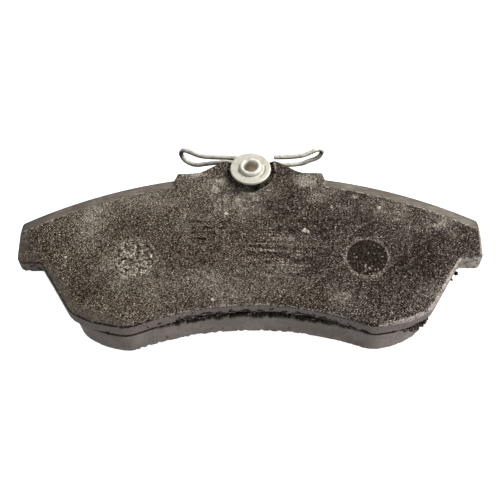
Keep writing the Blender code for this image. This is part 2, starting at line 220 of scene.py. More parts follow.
def flat_outlines(shape, height):
    """The closed outlines of the shape's flat faces at a height, the longest first."""
    flat = {face for face in shape.faces if all(abs(vert.co.z - height) < 0.01 for vert in face.verts)}
    after = {}
    for edge in shape.edges:
        if sum(face in flat for face in edge.link_faces) == 1:
            first, second = edge.verts
            after.setdefault(first, []).append(second)
            after.setdefault(second, []).append(first)
    outlines = []
    unused = set(after)
    while unused:
        start = min(unused, key=lambda vert: vert.index)
        outline, last, here = [], None, start
        while here in unused:
            unused.remove(here)
            outline.append((here.co.x, here.co.y))
            ahead = [vert for vert in after[here] if vert is not last and vert in unused]
            if not ahead:
                break
            last, here = here, ahead[0]
        outlines.append(np.array(outline))
    return sorted(outlines, key=len, reverse=True)


def signed_area(outline):
    x, y = outline.T
    return (x * np.roll(y, -1) - y * np.roll(x, -1)).sum() / 2


def even_outline(outline, step, clockwise=False):
    """The same closed outline with its points a step apart and its corners a little softer."""
    if (signed_area(outline) < 0) != clockwise:
        outline = outline[::-1]
    closed = np.vstack([outline, outline[:1]])
    along = np.concatenate([[0], np.cumsum(np.linalg.norm(np.diff(closed, axis=0), axis=1))])
    count = round(along[-1] / step)
    places = np.arange(count) * along[-1] / count
    even = np.column_stack([np.interp(places, along, closed[:, i]) for i in (0, 1)])
    return (np.roll(even, 1, 0) + 2 * even + np.roll(even, -1, 0)) / 4


def circle(x, y, radius, step):
    count = round(2 * math.pi * radius / step)
    turn = np.arange(count) * 2 * math.pi / count
    return np.column_stack([x + radius * np.cos(turn), y + radius * np.sin(turn)])


def outward(outline):
    """Unit normals that point away from the material, which lies to the left of the outline."""
    ahead = np.roll(outline, -1, 0) - np.roll(outline, 1, 0)
    normal = np.column_stack([ahead[:, 1], -ahead[:, 0]])
    return normal / np.linalg.norm(normal, axis=1)[:, None]


def tree_of(points):
    tree = kdtree.KDTree(len(points))
    for i, (x, y) in enumerate(points.tolist()):
        tree.insert((x, y, 0), i)
    tree.balance()
    return tree


def reach(tree, points):
    """Each point's distance to the nearest one in the tree."""
    return np.array([tree.find((x, y, 0))[2] for x, y in points.tolist()])


def scatter(outlines, tree, step, margin, shake, rng):
    """Points on a slightly shaken triangular grid inside the outlines, no nearer to them than the margin."""
    start = np.vstack(outlines)
    end = np.vstack([np.roll(outline, -1, 0) for outline in outlines])
    low, high = start.min(0), start.max(0)
    rows = []
    for i, y in enumerate(np.arange(low[1] + step / 3, high[1], step * math.sqrt(3) / 2)):
        crossing = (start[:, 1] > y) != (end[:, 1] > y)
        a, b = start[crossing], end[crossing]
        walls = np.sort(a[:, 0] + (y - a[:, 1]) * (b[:, 0] - a[:, 0]) / (b[:, 1] - a[:, 1]))
        x = np.arange(low[0] + (i % 2) * step / 2, high[0], step)
        x = x[np.searchsorted(walls, x) % 2 == 1]
        rows.append(np.column_stack([x, np.full(len(x), y)]))
    points = np.vstack(rows)
    points += rng.uniform(-shake, shake, points.shape) * step
    return points[reach(tree, points) > margin]


def fill(outlines, inner):
    """Triangles over the outlines' points and then the inner ones, with the holes left open."""
    ring = np.vstack(outlines)
    links = []
    loop_of = []
    for number, outline in enumerate(outlines):
        first, count = len(loop_of), len(outline)
        links += [(first + i, first + (i + 1) % count) for i in range(count)]
        loop_of += [number] * count
    points = [Vector(p) for p in np.vstack([ring, inner])]
    faces = delaunay_2d_cdt(points, links, [], 1, 1e-7)[2]

    def in_hole(face):
        loops = {loop_of[i] if i < len(ring) else -1 for i in face}
        return len(loops) == 1 and loops.pop() > 0

    return [tuple(face) for face in faces if not in_hole(face)]


class Slab:
    """A closed slab between a flat bottom and a top whose height is read over each place.

    steps are the point spacings of its top, wall and bottom, and rim_rows the depths of extra rows of
    points inside its outlines. points holds every point. top, wall and bottom are masks over them, a wall
    point on a rim being in both. out is a wall point's direction away from the material, share its way up
    the wall from 0 to 1, and rim a point's distance to the nearest outline.
    """

    def __init__(self, outlines, bottom, height_at, steps, seed, rim_rows=(0.14, 0.36)):
        top_step, wall_step, bottom_step = steps
        rng = np.random.default_rng(seed)
        ring = np.vstack(outlines)
        normals = np.vstack([outward(outline) for outline in outlines])
        tree = tree_of(ring)
        near = []
        for depth in rim_rows:
            row = ring - normals * depth
            near.append(row[reach(tree, row) > depth * 0.8])
        margin = max(rim_rows, default=0) + top_step * 0.6
        inner = np.vstack([*near, scatter(outlines, tree, top_step, margin, 0.22, rng)])
        under = scatter(outlines, tree, bottom_step, bottom_step * 0.7, 0.15, rng)

        ring_top = height_at(ring - normals * 0.06)
        rows = max(2, round((ring_top.max() - bottom) / wall_step))
        count = len(ring)
        walls = [np.column_stack([ring, bottom + (ring_top - bottom) * i / rows]) for i in range(rows + 1)]
        wall = np.vstack(walls)
        top = np.column_stack([inner, height_at(inner)])
        base = np.column_stack([under, np.full(len(under), bottom)])
        self.points = np.vstack([wall, top, base])

        first_top, first_base = len(wall), len(wall) + len(top)
        faces = []
        first = 0
        for outline in outlines:
            for i in range(len(outline)):
                a, b = first + i, first + (i + 1) % len(outline)
                for low in range(0, rows * count, count):
                    high = low + count
                    faces.append((a + low, b + low, b + high, a + high))
            first += len(outline)
        last_row = rows * count
        for face in fill(outlines, inner):
            faces.append(tuple(last_row + i if i < count else first_top + i - count for i in face))
        for face in fill(outlines, under):
            faces.append(tuple(i if i < count else first_base + i - count for i in reversed(face)))
        self.faces = faces

        index = np.arange(len(self.points))
        self.wall = index < first_top
        self.top = ((index >= last_row) & (index < first_top)) | ((index >= first_top) & (index < first_base))
        self.bottom = (index < count) | (index >= first_base)
        self.out = np.zeros((len(self.points), 3))
        self.out[:first_top, :2] = np.tile(normals, (rows + 1, 1))
        self.rim = np.zeros(len(self.points))
        self.rim[first_top:first_base] = reach(tree, inner)
        self.rim[first_base:] = reach(tree, under)
        pairs = np.array([(face[i], face[i - 1]) for face in faces for i in range(len(face))])
        self.edges = np.unique(np.sort(pairs, axis=1), axis=0)
        self.share = np.zeros(len(self.points))
        self.share[:first_top] = np.repeat(np.arange(rows + 1) / rows, count)

    def round_rim(self, radius):
        """Rounds the top's edge over, by each point's own radius."""
        depth = np.clip(radius - self.rim, 0, radius)
        drop = radius - np.sqrt(radius**2 - depth**2)
        self.points[self.top, 2] -= drop[self.top]
        lowered = self.wall & ~self.top
        self.points[lowered, 2] -= (radius * self.share)[lowered]


def height_reader(node, otherwise):
    """A function that gives the CAD node's height over each (x, y)."""
    shape = cad_shape(node)
    tree = BVHTree.FromBMesh(shape)
    shape.free()

    def height_at(places):
        heights = []
        for x, y in places.tolist():
            hit = tree.ray_cast((x, y, 100), (0, 0, -1))[0]
            heights.append(otherwise if hit is None else hit.z)
        return np.array(heights)

    return height_at


# ---------------- pieces

def new_object(name, data):
    thing = bpy.data.objects.new(name, data)
    bpy.context.scene.collection.objects.link(thing)
    return thing


def make_piece(name, points, faces, material, marks, sharp=60):
    """A mesh object in metres, with a named value on each point for its material to read."""
    mesh = bpy.data.meshes.new(name)
    mesh.from_pydata((np.asarray(points) * MM).tolist(), [], faces)
    for key, values in marks.items():
        mesh.attributes.new(key, "FLOAT", "POINT").data.foreach_set("value", np.asarray(values, np.float32))
    mesh.shade_smooth()
    mesh.set_sharp_from_angle(angle=math.radians(sharp))
    mesh.materials.append(material)
    piece = new_object(name, mesh)
    return piece


def spots(points, places, wobble):
    """How strongly each point lies in any of the soft-edged elliptical patches."""
    x, y = points[:, 0] + wobble * 1.6, points[:, 1] + wobble * 1.6
    total = np.zeros(len(points))
    for cx, cy, half_width, half_height, strength in places:
        distance = ((x - cx) / half_width) ** 2 + ((y - cy) / half_height) ** 2
        total = np.maximum(total, strength * np.exp(-distance))
    return total


# ---------------- backing plate

def plate_slab():
    shape = cad_shape("backing_plate")
    outer, *holes = flat_outlines(shape, PLATE_BOTTOM)
    shape.free()
    outlines = [even_outline(outer, 0.3)]
    outlines += [even_outline(hole, 0.3, clockwise=True) for hole in holes]
    return Slab(outlines, PLATE_BOTTOM, height_reader("backing_plate", PLATE_TOP), (0.29, 0.45, 1.5), seed=3)


def plate_places(slab):
    """Where each point of the plate lies, as masks, distances in millimetres and shares from 0 to 1."""
    flat = slab.points.copy()
    x, y, z = flat.T
    at = SimpleNamespace(flat=flat, x=x, y=y, z=z)
    at.wall = slab.wall & ~slab.top
    at.key_off = np.hypot(abs(x) - KEY_X, y - KEY_Y)
    at.seat_off = np.hypot(x - SEAT_X, y - SEAT_Y)
    at.hole = (at.key_off < 8) | (np.hypot(x, y - RIVET_HOLE_Y) < 5)
    at.seat = (at.seat_off < SEAT_RADIUS - 0.1) & slab.top
    at.below = np.where(slab.top, PLATE_TOP - z, 0)
    at.bevel = ease(at.below, 0.04, 0.2) * ~at.seat * slab.top
    at.edge = ~at.hole & (slab.top | at.wall)
    # How far each point is from the back face's edge, inwards over the face or down the wall
    at.drop = np.where(at.wall, PLATE_TOP - z, slab.rim) * (1 - slab.bottom) + 9 * (slab.bottom & ~slab.wall)

    at.right_slope = ease(x, 34, 42) * ease(-y, 3, 9)
    at.right_lobe = ease(x, 38, 46) * ease(-y, 15, 20)
    at.right_end = ease(x, 65, 67) * ease(-y, -6, -4)
    at.lower_middle = fade(abs(x), 26, 34) * ease(-y, 18, 20)
    at.left_lobe = ease(-x, 20, 30) * ease(-y, 6, 12)
    at.tab_corner = ease(-x, 14.5, 17.5) * ease(y, 17.5, 19)
    at.ear_wall = ease(abs(x), 60, 62.5) * (y < -6) * at.wall

    at.wobble = noise_at(flat, 5, 1, 3)
    at.patchy = noise_at(flat, 1.3, 12, 2)
    at.grain = noise_at(flat, 0.55, 3, 2)
    at.fine = noise_at(flat, 0.45, 4)
    return at


def rubbed_edges(slab, at):
    """Where the coating is rubbed smooth: beside the left lobe's edge and at the ends of both ears."""
    near = slab.rim + 0.8 * at.wobble
    lobe = ease(-at.x, 30, 42) * ease(-at.y, 8, 12) * fade(near, 1.5, 4.0)
    left_ear = ease(-at.x, 61, 64.5) * fade(near, 2.0, 3.5)
    right_ear = 0.5 * ease(at.x + 0.5 * at.wobble, 65.8, 67.5)
    return np.maximum(np.maximum(lobe, left_ear), right_ear) * slab.top * (at.key_off > 9)


def dashes_and_ripples(at):
    """Rows of dark dashes, and long fine ripples, along the middle of the pad."""
    rows = ease(np.cos(2 * math.pi * (at.y + 0.3 * at.wobble) / DASH_PITCH), 0.3, 0.8)
    dashes = rows * ease(noise_at(at.flat, 1.0, 14, 2, stretch=(3, 1.5, 1)), -0.1, 0.2)
    dashes *= ease(spots(at.flat, [DASHED], at.wobble), 0.2, 0.6)
    ripples = noise_at(at.flat, 0.5, 15, 2, stretch=(16, 1, 1))
    ripples *= ease(spots(at.flat, [RIPPLED], at.wobble), 0.15, 0.6)
    return dashes, ripples


def key_collars(at):
    """A ragged collar round each moulded key."""
    ragged_off = at.key_off + 0.35 * noise_at(at.flat, 2.4, 8)
    return ease(ragged_off, 5.5, 6.0) * fade(ragged_off, 6.4, 7.4)


def plate_dust(slab, at, collars):
    """Dust in soft patches, splashes and clumps, and on the collars."""
    patches = spots(at.flat, DUST, at.wobble) * (0.65 + 0.75 * noise_at(at.flat, 1.2, 5, 3))
    splash = ease(noise_at(at.flat, 1.5, 19, 3, stretch=(1, 1.8, 1)), 0.15, 0.5)
    splash *= 0.6 * spots(at.flat, [SPLASHED], at.wobble)
    clumps = spots(at.flat, CLUMPS, 0.4 * at.wobble) + 0.3 * noise_at(at.flat, 0.8, 29, 2)
    broken = 0.35 + 0.65 * ease(noise_at(at.flat, 1.6, 30, 2), -0.4, 0.3)
    on_collars = collars * broken * np.where(at.x > 0, 0.75, 0.4) * (0.6 + 0.7 * at.grain)
    dust = np.maximum.reduce([patches, splash, ease(clumps, 0.45, 0.75), on_collars])
    return np.clip(dust, 0, 1) * slab.top * (1 - at.bevel)


def pale_chips(slab, at):
    """Chips stuck to the coating, and flecks of steel along the bevels' upper edges."""
    chips = np.zeros(len(at.flat))
    for chip_x, chip_y, size in CHIPS:
        off = np.hypot(at.x - chip_x, (at.y - chip_y) * 1.3) + 0.6 * size * noise_at(at.flat, 0.5, 16)
        chips = np.maximum(chips, fade(off, size * 0.7, size))
    flecks = hump(at.below, 0.12, 0.08) * (at.z > PLATE_TOP - 0.5) * ~at.seat
    flecks *= 0.75 * ease(noise_at(at.flat, 0.9, 18, 2), 0.15, 0.5)
    return np.maximum(chips, flecks) * slab.top


def seat_arc_highlight(at):
    """A painted highlight: the thin pale arc along the seat's rim on its lower right, where the edge catches
    the light.
    """
    angle = np.degrees(np.arctan2(at.y - SEAT_Y, at.x - SEAT_X))
    arc = hump(at.seat_off, SEAT_RADIUS, 0.2) * ease(angle, -85, -65) * fade(angle, 25, 40)
    return arc * ease(noise_at(at.flat, 2.0, 17), -0.7, -0.2)


def crumbled_foot(slab, at):
    """Where the wall's lower edge is eaten away, most of all under the middle."""
    middle = fade(abs(at.x - 2), 18, 36) * ease(-at.y, 14, 18)
    eaten = noise_at(at.flat, 1.7, 13, 4, stretch=(1.5, 1, 0.8)) - 2.4 * slab.share - 1.3 * (1 - middle)
    return ease(eaten, -0.85, -0.7) * at.wall * (at.z < PLATE_TOP - 1.5)


def plate_wear_and_highlight(at):
    """Where the coating is worn to bare steel along the back face's edge, most of all on the right, where the
    lighter edge is also a painted highlight from the side lamp.
    """
    wide = np.where(at.wall, 0.5, 0.6 + 0.5 * at.right_slope) + 0.4 * at.right_lobe + 0.5 * at.right_end
    places = 0.2 + 1.4 * at.right_slope + 0.8 * at.right_end + 0.5 * at.lower_middle - 0.3 * at.left_lobe
    wear_and_highlight = np.clip(places, 0, 1) * at.edge * fade(at.drop, 0.35 * wide, wide)
    wear_and_highlight *= 0.75 + 0.4 * at.patchy
    wear_and_highlight[at.bevel > 0.3] *= 0.4
    return np.clip(wear_and_highlight, 0, 1)


def plate_grime_and_shade(at, foot):
    """A dark line along the left lobe's edge, painted shade on the ears' lower walls, most on the left ear
    that the key lamp leaves dark, and painted shade in the crumbled foot.
    """
    lobe = at.left_lobe * at.edge * fade(at.drop, 0.15, 0.55) * (0.8 + 0.5 * at.patchy)
    ears = np.where(at.x < 0, 0.65, 0.25) * at.ear_wall * ease(noise_at(at.flat, 1.8, 39, 3), -0.2, 0.5)
    return np.clip(lobe + ears + 2.0 * foot, 0, 1)


def shape_plate(slab, at, relief, foot):
    """Lifts the back face by its relief, and works the wall and the underside.

    The wall is pressed steel with light upright scoring and a nick in its left shoulder, kept just inside
    the pressed outline.
    """
    slab.points[slab.top, 2] += (relief * ease(slab.rim, 0.0, 0.25))[slab.top] - 0.03
    scoring = noise_at(at.flat, 0.7, 9, 2, stretch=(1, 1, 5))
    nick = hump(at.x, NICK_X, 0.9) * (at.y > 15) * slab.wall * ease(slab.share, 0.3, 0.9)
    push = 0.018 * scoring + 0.03 * noise_at(at.flat, 3, 10) - 0.07 - 0.45 * nick - 0.35 * foot
    slab.points += slab.out * push[:, None]
    under = slab.bottom & ~slab.wall
    slab.points[under, 2] += 0.03 * noise_at(at.flat[under], 1.2, 11, 2)


def make_backing_plate():
    """The stamped plate: a gritty coated back, smooth bevels, scored walls and worn edges."""
    slab = plate_slab()
    at = plate_places(slab)
    slab.points[:, 2] = np.where(slab.top, soften(slab.points[:, 2], slab.edges, 2), slab.points[:, 2])
    slab.round_rim(np.where(at.hole, 0.12, 0.45 + 0.5 * at.right_slope))

    rubbed = rubbed_edges(slab, at)
    dashes, ripples = dashes_and_ripples(at)
    collars = key_collars(at)
    chips = pale_chips(slab, at)
    foot = crumbled_foot(slab, at)
    rough = np.clip(1 - 0.9 * at.bevel - 0.5 * at.tab_corner - 0.6 * rubbed, 0, 1)
    relief = (0.095 * at.grain + 0.045 * at.fine + 0.05 * noise_at(at.flat, 2.6, 6, 2)) * rough
    relief += 0.012 * noise_at(at.flat, 0.9, 7, 2) + 0.08 * ripples - 0.12 * dashes
    relief += 0.07 * collars * (0.6 + at.grain) + 0.16 * chips
    shape_plate(slab, at, relief, foot)

    tone = -0.12 * spots(at.flat, SHADE, at.wobble) - 0.24 * dashes + 0.16 * ripples
    # Painted shade: darker in the outer ring of the washer's seat, round the washer's edge
    tone -= 0.08 * at.seat * ease(at.seat_off, 5.5, 6.5)
    # Painted highlight: lighter near the right slope's edge, which faces the side lamp
    tone += 0.06 * at.right_slope * at.edge * fade(at.drop, 0.6, 2.5)
    rim_dark = fade(slab.rim, 0.15, 1.0) + 0.55 * ease(1.5 * at.wobble - at.x, 57, 64)
    marks = {
        "grain": 0.5 + 0.42 * at.grain + 0.12 * at.fine,
        "dust": plate_dust(slab, at, collars),
        "tone": tone,
        "band": at.bevel,
        "outer": at.bevel * np.clip(rim_dark, 0, 1),
        "calm": rubbed,
        "wall": ease(PLATE_TOP - at.z + 0.3 * at.patchy, 0.5, 0.9) * at.wall,
        # Lighter blotches on the right ear's wall: bare steel, and painted light on the lamp's side
        "bare_and_lit": at.ear_wall * (at.x > 0),
        # Worn steel along the edges, and a painted highlight on the right-hand edges that face the side lamp
        "wear_and_highlight": plate_wear_and_highlight(at),
        # Near black along the left lobe's edge, and painted shade on the ears' lower walls and in the
        # crumbled foot
        "grime_and_shade": plate_grime_and_shade(at, foot),
        # Pale chips and steel flecks, and the seat's rim arc as a painted highlight
        "chips_and_highlight": np.clip(chips + 0.8 * seat_arc_highlight(at) * slab.top, 0, 1),
    }
    piece = make_piece("plate", slab.points, slab.faces, plate_material(), marks)
    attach(piece, "pad")
    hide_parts("backing_plate")


# ---------------- underlayer and lining

def lining_outline(step):
    shape = cad_shape("underlayer")
    outline = flat_outlines(shape, LINING_TOP + 0.3)[0]
    shape.free()
    return even_outline(outline, step)


def flattened(x, y):
    return np.column_stack([x, y, np.zeros(len(x))])


def bitten(x, y):
    """How much of the joint below the plate is crumbled away, from 0 to 1, and how deep in millimetres."""
    middle = fade(abs(x + 1), 20, 30)
    right = ease(x, 22, 27) * fade(x, 27, 34) * 0.6
    share = np.maximum(middle, right) * (y < 0)
    depth = share * (0.8 + 1.3 * ease(noise_at(flattened(x, y), 2.6, 61, 4), -0.5, 0.5)) + 0.1
    return share, depth


def join_slabs(parts):
    """Several (points, faces, marks) as one."""
    points, faces = [], []
    marks = {key: [] for key in parts[0][2]}
    count = 0
    for part_points, part_faces, part_marks in parts:
        points.append(part_points)
        faces += [tuple(i + count for i in face) for face in part_faces]
        count += len(part_points)
        for key in marks:
            marks[key].append(part_marks[key])
    return np.vstack(points), faces, {key: np.concatenate(values) for key, values in marks.items()}


def crumb(centre, size, seed):
    """A small broken lump, pale for one seed in three."""
    shape = bmesh.new()
    bmesh.ops.create_icosphere(shape, subdivisions=3, radius=size)
    for vert in shape.verts:
        push = 1 + 0.45 * noise.fractal(vert.co / size * 1.1 + Vector((seed, 0, 0)), 1.0, 2.0, 3)
        vert.co *= push
    points = np.array([vert.co + Vector(centre) for vert in shape.verts])
    faces = [tuple(vert.index for vert in face.verts) for face in shape.faces]
    shape.free()
    pale = 0.36 if seed % 3 == 0 else 0.06
    return points, faces, {"pale": np.full(len(points), pale), "groove_dark_and_shade": np.zeros(len(points))}


def make_crumbs():
    """Crumbs of underlayer stuck under the plate's right slope, and massed at its right lobe."""
    rng = np.random.default_rng(17)
    crumbs = [crumb(place, size, seed) for seed, (place, size) in enumerate(SINGLE_CRUMBS, 1)]
    outline = lining_outline(0.5)
    away = outward(outline)
    x, y = outline.T
    slope = np.flatnonzero((x > 51) & (y < -11) & (y > -22))
    lobe = np.flatnonzero((x > 41.5) & (x < 51) & (y < -22.8))
    for i, place in enumerate([*rng.choice(slope, SLOPE_CRUMBS), *rng.choice(lobe, LOBE_CRUMBS)]):
        bulk = float(ease(x[place], 41.5, 47.5)) if i >= SLOPE_CRUMBS else 0.0
        spot = outline[place] + away[place] * rng.uniform(-0.1, 0.05 + 1.5 * bulk)
        height = rng.uniform(11.3 - 2.2 * bulk, 12.3)
        crumbs.append(crumb((*spot, height), rng.uniform(0.22, 0.3 + 0.5 * bulk), 3 + i))
    return crumbs


def moulded_key(side, low):
    """One key, which fills a hole in the plate: dark and smooth on the right, pale and flaky on the left."""
    ring = circle(side * KEY_X, KEY_Y, KEY_RADIUS, 0.28)
    key = Slab([ring], low, lambda p: np.full(len(p), KEY_TOP), (0.28, 0.6, 1.5), seed=7 + side)
    flat = key.points.copy()
    rough = noise_at(flat, 0.9, 23 + side, 3)
    if side > 0:
        lift = 0.07 * rough + 0.06 * noise_at(flat, 3.5, 24, 2)
        pale = 0.8 * ease(noise_at(flat, 0.6, 25, 2) - 0.04 * (flat[:, 1] - KEY_Y), 0.6, 0.9)
    else:
        flakes = ease(noise_at(flat, 1.0, 28, 3) - 0.04 * (flat[:, 1] - KEY_Y), -0.1, 0.35)
        lift = 0.3 * flakes + 0.14 * rough + 0.05
        pale = np.clip(0.25 + 0.5 * rough + 0.6 * flakes * (0.9 + 0.8 * rough), 0.04, 1)
    key.points[key.top, 2] += (lift * ease(key.rim, 0, 0.3))[key.top]
    return key.points, key.faces, {"pale": pale, "groove_dark_and_shade": np.zeros(len(pale))}


def make_underlayer():
    """A crumbly moulded layer with an eaten-away groove under the plate, its two keys and its crumbs."""
    outline = lining_outline(0.26)
    low, high = LINING_TOP - UNDERLAYER_OVERLAP, PLATE_BOTTOM + UNDERLAYER_OVERLAP
    slab = Slab([outline], low, lambda p: np.full(len(p), high), (2.5, 0.17, 2.5), seed=5, rim_rows=())
    flat = slab.points.copy()
    x, y = flat[:, 0], flat[:, 1]
    share, depth = bitten(x, y)
    hollow = 0.7 + 0.5 * ease(slab.share, 0.0, 0.5) * noise_at(flat, 1.6, 21, 3)
    ragged = noise_at(flat, 0.7, 22, 3)
    flash = ease(x, 42, 46) * fade(x, 55, 58) * ease(-y, 14, 18)
    eaten = depth * (hollow + 0.35 * ease(slab.share, 0.1, 0.5) - 0.55 * ease(slab.share, 0.75, 1.0))
    push = -eaten + 0.1 * ragged * (0.4 + share) + flash * (0.45 + 0.75 * noise_at(flat, 1.1, 27, 3))
    slab.points += slab.out * push[:, None] * slab.wall[:, None]
    low_part = np.maximum(share * fade(slab.share, 0.15, 0.55), flash)
    marks = {
        "pale": ease(noise_at(flat, 0.55, 20, 2), -0.1, 0.6) * low_part,
        # Almost black in the groove under the plate: dark compound and painted shade
        "groove_dark_and_shade": share * ease(slab.share, 0.0, 0.2),
    }
    parts = [(slab.points, slab.faces, marks)]
    parts += [moulded_key(side, high - 1) for side in (-1, 1)]
    parts += make_crumbs()
    points, faces, marks = join_slabs(parts)
    piece = make_piece("underlayer_compound", points, faces, underlayer_material(), marks)
    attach(piece, "pad")
    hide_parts("underlayer")


def make_lining():
    """The moulded block, its wall pitted and streaked, its lower edge chipped and its upper edge crumbled."""
    outline = lining_outline(0.3)
    slab = Slab([outline], 0, lambda p: np.full(len(p), LINING_TOP), (3, 0.36, 0.42), seed=9, rim_rows=())
    flat = slab.points.copy()
    x, y, z = flat.T
    pores = ease(noise_at(flat, 1.3, 31, 2), 0.75, 0.95)
    chips = ease(noise_at(flat, 1.2, 32, 3), 0.0, 0.6) * fade(z, 0.1, 0.8)
    middle = fade(abs(x + 8), 22, 30)
    pitted = pores * (0.1 + 0.9 * middle * fade(z, 3, 7))
    streaks = noise_at(flat, 0.8, 33, 2, stretch=(1, 1, 7))
    share, depth = bitten(x, y)
    fall = share * (0.6 + 1.5 * ease(noise_at(flattened(x, y), 1.9, 62, 4), -0.6, 0.6)) + 0.15
    crumbled = ease(z + 0.25 * noise_at(flat, 0.8, 37, 2), LINING_TOP - fall, LINING_TOP)
    push = -0.3 * chips * (0.3 + middle) - 0.3 * pitted + 0.01 * streaks + 0.04 * noise_at(flat, 4, 34) - 0.07
    push -= 0.7 * depth * crumbled * (1 + 0.25 * noise_at(flat, 0.6, 38, 2))
    slab.points += slab.out * push[:, None] * slab.wall[:, None]
    face = slab.bottom & ~slab.wall
    slab.points[face, 2] += np.clip(0.05 * noise_at(flat[face], 1.1, 35, 3) + 0.2 * pores[face], 0, 1)
    marks = {
        "pore": np.clip(pitted * 1.2 + chips * (0.3 + 0.5 * middle), 0, 1),
        "broken": ease(crumbled * share, 0.08, 0.3),
        "face": face.astype(float),
    }
    piece = make_piece("lining", slab.points, slab.faces, lining_material(), marks)
    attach(piece, "pad")
    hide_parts("friction_lining")


# ---------------- rivet and washer

def turned_points(profile, steps):
    """Points and faces of a profile of (radius, height) turned about Z, whose ends may be on the axis."""
    turn = np.arange(steps) * 2 * math.pi / steps
    points, rows = [], []
    for radius, height in profile:
        if radius == 0:
            rows.append([len(points)] * steps)
            points.append((0, 0, height))
        else:
            rows.append(list(range(len(points), len(points) + steps)))
            points += [(radius * math.cos(t), radius * math.sin(t), height) for t in turn]
    faces = []
    for upper, lower in zip(rows, rows[1:]):
        for i in range(steps):
            j = (i + 1) % steps
            corners = [upper[i], lower[i], lower[j], upper[j]]
            faces.append(tuple(dict.fromkeys(corners)))
    return np.array(points, float), faces


def bowed(start, end, steps, bulge=0.0):
    """Profile points from start to end, both included, bulged to the left by a share of the length."""
    (r0, z0), (r1, z1) = start, end
    result = []
    for i in range(steps + 1):
        t = i / steps
        swell = bulge * math.sin(math.pi * t)
        result.append((r0 + (r1 - r0) * t + (z0 - z1) * swell, z0 + (z1 - z0) * t + (r1 - r0) * swell))
    return result


def lean(points):
    """Points about the rivet's own axis, moved to where the leaning rivet stands."""
    turn = np.array(Matrix.Rotation(-RIVET_LEAN, 3, "X"))
    return points @ turn.T + np.array(RIVET_FOOT)


def rivet_profile(rim_low):
    """(radius, height) from the bore's floor, up and over the rolled rim, and down to the head."""
    rim_middle = (RIVET_BORE_RADIUS + RIM_RADIUS) / 2
    rim_half = (RIM_RADIUS - RIVET_BORE_RADIUS) / 2
    profile = [(0, 0.2), (0.7, 0.22), (1.3, 0.3), (1.75, 0.5), (RIVET_BORE_RADIUS, 0.9)]
    profile += bowed((RIVET_BORE_RADIUS, 1.1), (RIVET_BORE_RADIUS, rim_low), 6)
    for i in range(1, 14):
        turn = math.pi * (1 - i / 14)
        height = rim_low + (RIM_TOP - rim_low) * math.sin(turn)
        profile.append((rim_middle + rim_half * math.cos(turn), height))
    profile += [(RIM_RADIUS, rim_low), (RIM_RADIUS - 0.03, WASHER_TOP + 0.1)]
    profile += [(RIM_RADIUS - 0.2, WASHER_TOP - 0.05), (RIVET_RADIUS, WASHER_TOP - 0.1)]
    profile += [(RIVET_RADIUS, HEAD_TOP), (HEAD_RADIUS - 0.1, HEAD_TOP)]
    profile += [(HEAD_RADIUS, HEAD_TOP - 0.15), (HEAD_RADIUS, HEAD_TOP - 0.6)]
    profile += bowed((HEAD_RADIUS - 0.15, HEAD_BOTTOM + 0.3), (0, HEAD_BOTTOM), 8, bulge=-0.02)[:-1]
    return profile + [(0, HEAD_BOTTOM)]


def make_rivet():
    """A hollow rivet: a bore part filled with dirt, a thick rolled rim, and a domed head under the plate."""
    rim_low = WASHER_TOP + 0.28
    points, faces = turned_points(rivet_profile(rim_low), 96)
    radius = np.hypot(points[:, 0], points[:, 1])
    rim = (points[:, 2] > rim_low - 0.3) & (radius > 1.5)
    rough = noise_at(points, 1.6, 41, 2)
    points[:, :2] *= (1 + 0.012 * rough * rim)[:, None]
    points[:, 2] += np.minimum(0.05 * rough, 0.0) * rim
    marks = {"dirt_and_shade": np.clip((WASHER_TOP + 0.35 - points[:, 2]) / 1.2, 0, 1) * (radius < 2.2)}
    material = metal_material("rivet_steel", RIVET_LOOK)
    piece = make_piece("rivet_body", lean(points), faces, material, marks, 50)
    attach(piece, "pad")
    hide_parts("rivet")


def washer_profile():
    """(radius, height) from the bore's upper edge, out over the rolled edge, and back under to the bore."""
    profile = [(WASHER_BORE, WASHER_TOP - 0.3), (WASHER_BORE + 0.1, WASHER_TOP)]
    profile += [(r, WASHER_TOP) for r in np.linspace(WASHER_BORE + 0.1, WASHER_RADIUS - 0.35, 17)[1:]]
    for i in range(1, 7):
        turn = math.pi / 2 * i / 6
        profile.append((WASHER_RADIUS - 0.3 * (1 - math.sin(turn)), WASHER_TOP - 0.3 * (1 - math.cos(turn))))
    profile += [(WASHER_RADIUS, WASHER_BOTTOM + 0.3), (WASHER_RADIUS, WASHER_BOTTOM + 0.08)]
    profile += [(WASHER_RADIUS - 0.08, WASHER_BOTTOM), (4.6, WASHER_BOTTOM), (WASHER_BORE, WASHER_BOTTOM)]
    return profile


def make_washer():
    """A stamped washer with a rolled upper edge and a shallow crescent dent beside the rivet."""
    profile = washer_profile()
    steps = 144
    points, faces = turned_points(profile, steps)
    last = (len(profile) - 1) * steps
    faces += [(last + i, i, (i + 1) % steps, last + (i + 1) % steps) for i in range(steps)]
    radius = np.hypot(points[:, 0], points[:, 1])
    angle = np.degrees(np.arctan2(points[:, 1], points[:, 0]))
    upper = ease(points[:, 2], WASHER_TOP - 0.2, WASHER_TOP)
    dent = hump(radius, 4.35, 0.3) * ease(angle, -62, -45) * fade(angle, 5, 20) * upper
    points[:, 2] -= 0.14 * dent
    points[:, 2] += 0.012 * noise_at(points, 1.3, 43, 2) * upper
    points[:, :2] *= (1 + 0.004 * noise_at(points, 2.5, 44, 2))[:, None]
    # Darker in the crescent dent and in a ring round the bore at the rim's foot
    marks = {"dirt_and_shade": np.clip(dent * 0.8 + 0.5 * fade(radius, 3.3, 3.75) * upper, 0, 1)}
    material = metal_material("washer_zinc", WASHER_LOOK)
    piece = make_piece("washer", lean(points), faces, material, marks, 50)
    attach(piece, "pad")
    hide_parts("rivet_washer")


# ---------------- spring

